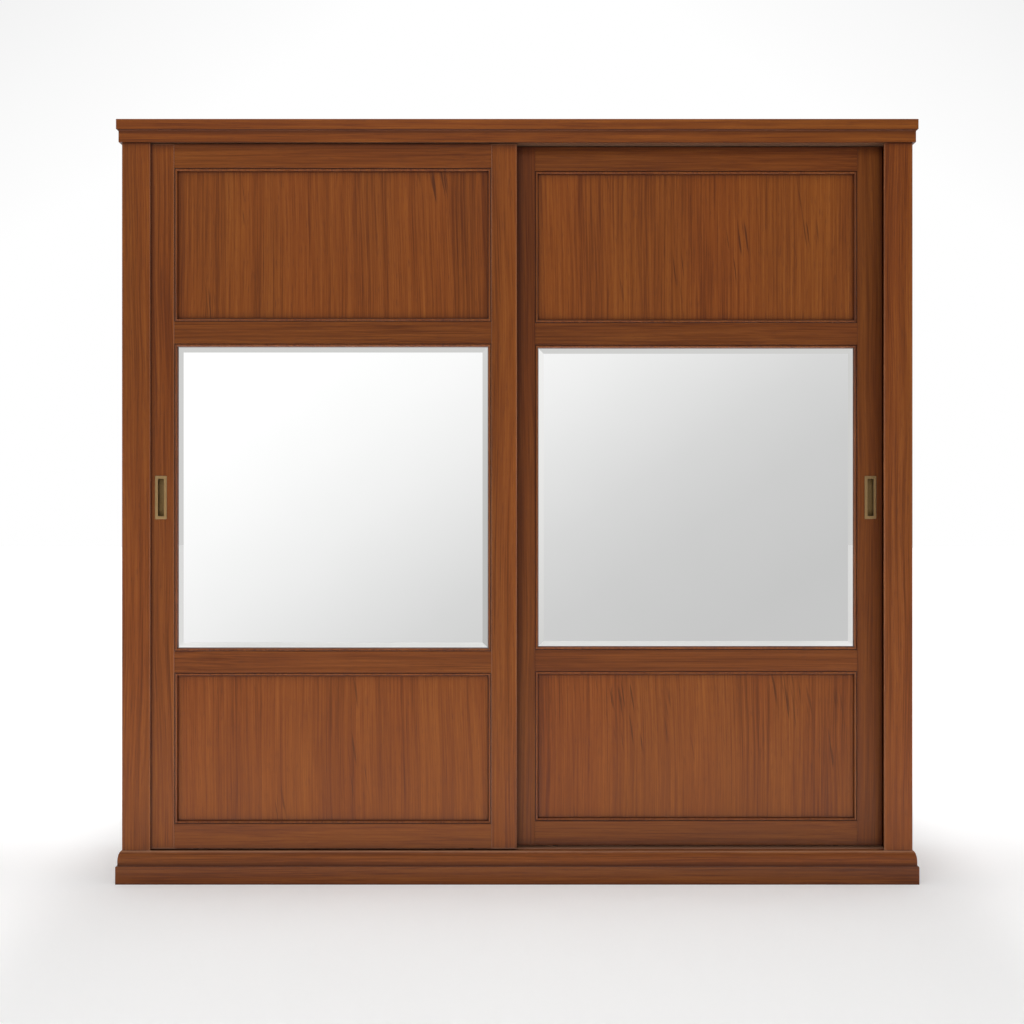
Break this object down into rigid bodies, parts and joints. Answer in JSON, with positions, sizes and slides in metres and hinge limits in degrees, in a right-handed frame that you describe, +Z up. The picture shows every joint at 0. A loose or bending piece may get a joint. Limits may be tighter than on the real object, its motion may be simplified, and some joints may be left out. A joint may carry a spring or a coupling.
{
  "type": "armoire",
  "caption": "Wide sliding-door armoire: frame-and-panel doors with bevelled mirrors and flush finger pulls, a stepped plinth and cornice, and a shelf and hanging rail in each bay.",
  "frame": {"origin": "on the floor, at the middle of the overall width and depth", "axes": "+X to the right of someone facing the doors, +Y to the back, +Z up"},
  "size_m": [2.31, 0.65, 2.2],
  "materials": {
    "stile_wood": "satin reddish-brown stain, grain upright",
    "rail_wood": "satin reddish-brown stain, grain across",
    "panel_wood": "satin reddish-brown stain, grain upright",
    "post_wood": "satin reddish-brown stain, grain upright",
    "moulding_wood": "satin reddish-brown stain, grain along the moulding",
    "beading_wood": "satin reddish-brown stain",
    "carcass_wood": "matt stained board",
    "backing_board": "matt thin board",
    "mirror_glass": "silvered, bevelled",
    "antique_brass": "satin, aged",
    "bronze_track": "bronze anodised, satin",
    "rail_steel": "polished tube",
    "nylon": "dark brown",
    "zinc_plated_steel": "zinc plated"
  },
  "bodies": {
    "carcass": {"back_panels": "backing_board", "base_moulding_front": "moulding_wood", "base_moulding_left": "moulding_wood", "base_moulding_right": "moulding_wood", "base_panel": "carcass_wood", "base_rails": "carcass_wood", "bottom_track": "bronze_track", "cornice_front": "moulding_wood", "cornice_left": "moulding_wood", "cornice_right": "moulding_wood", "hanging_rails": "rail_steel", "left_front_post": "post_wood", "left_rear_post": "post_wood", "left_side_panels": "panel_wood", "left_side_rails": "rail_wood", "partition": "carcass_wood", "plinth_front": "moulding_wood", "plinth_left": "moulding_wood", "plinth_right": "moulding_wood", "rail_sockets": "antique_brass", "right_front_post": "post_wood", "right_rear_post": "post_wood", "right_side_panels": "panel_wood", "right_side_rails": "rail_wood", "shelf_cleats": "carcass_wood", "shelves": "carcass_wood", "top_panel": "carcass_wood", "top_track": "bronze_track"},
    "front_door": {"front_door_beading": "beading_wood", "front_door_bottom_rail": "rail_wood", "front_door_finger_pull": "antique_brass", "front_door_lap_stile": "stile_wood", "front_door_lower_panel": "panel_wood", "front_door_lower_rail": "rail_wood", "front_door_mirror": "mirror_glass", "front_door_mirror_backing": "backing_board", "front_door_pull_stile": "stile_wood", "front_door_roller_carriages": "zinc_plated_steel", "front_door_top_guides": "nylon", "front_door_top_rail": "rail_wood", "front_door_upper_panel": "panel_wood", "front_door_upper_rail": "rail_wood"},
    "rear_door": {"rear_door_beading": "beading_wood", "rear_door_bottom_rail": "rail_wood", "rear_door_finger_pull": "antique_brass", "rear_door_lap_stile": "stile_wood", "rear_door_lower_panel": "panel_wood", "rear_door_lower_rail": "rail_wood", "rear_door_mirror": "mirror_glass", "rear_door_mirror_backing": "backing_board", "rear_door_pull_stile": "stile_wood", "rear_door_roller_carriages": "zinc_plated_steel", "rear_door_top_guides": "nylon", "rear_door_top_rail": "rail_wood", "rear_door_upper_panel": "panel_wood", "rear_door_upper_rail": "rail_wood"},
    "front_wheel_left": {"front_door_wheel_left": "nylon"},
    "front_wheel_right": {"front_door_wheel_right": "nylon"},
    "rear_wheel_left": {"rear_door_wheel_left": "nylon"},
    "rear_wheel_right": {"rear_door_wheel_right": "nylon"}
  },
  "joints": [
    {"name": "front_door_slide", "type": "slide", "parent": "carcass", "child": "front_door", "axis": [1, 0, 0], "range_m": [0, 1.064]},
    {"name": "rear_door_slide", "type": "slide", "parent": "carcass", "child": "rear_door", "axis": [-1, 0, 0], "range_m": [0, 1.041]},
    {"name": "front_wheel_left_roll", "type": "hinge", "parent": "front_door", "child": "front_wheel_left", "pos_m": [-0.9295, -0.285, 0.1063], "axis": [0, 1, 0], "continuous": true},
    {"name": "front_wheel_right_roll", "type": "hinge", "parent": "front_door", "child": "front_wheel_right", "pos_m": [-0.135, -0.285, 0.1063], "axis": [0, 1, 0], "continuous": true},
    {"name": "rear_wheel_left_roll", "type": "hinge", "parent": "rear_door", "child": "rear_wheel_left", "pos_m": [0.1116, -0.239, 0.1063], "axis": [0, 1, 0], "continuous": true},
    {"name": "rear_wheel_right_roll", "type": "hinge", "parent": "rear_door", "child": "rear_wheel_right", "pos_m": [0.9295, -0.239, 0.1063], "axis": [0, 1, 0], "continuous": true}
  ],
  "couplings": [
    {"joint": "front_wheel_left_roll", "follows": "front_door_slide", "rad_per_m": 76.923},
    {"joint": "front_wheel_right_roll", "follows": "front_door_slide", "rad_per_m": 76.923},
    {"joint": "rear_wheel_left_roll", "follows": "rear_door_slide", "rad_per_m": -76.923},
    {"joint": "rear_wheel_right_roll", "follows": "rear_door_slide", "rad_per_m": -76.923}
  ]
}
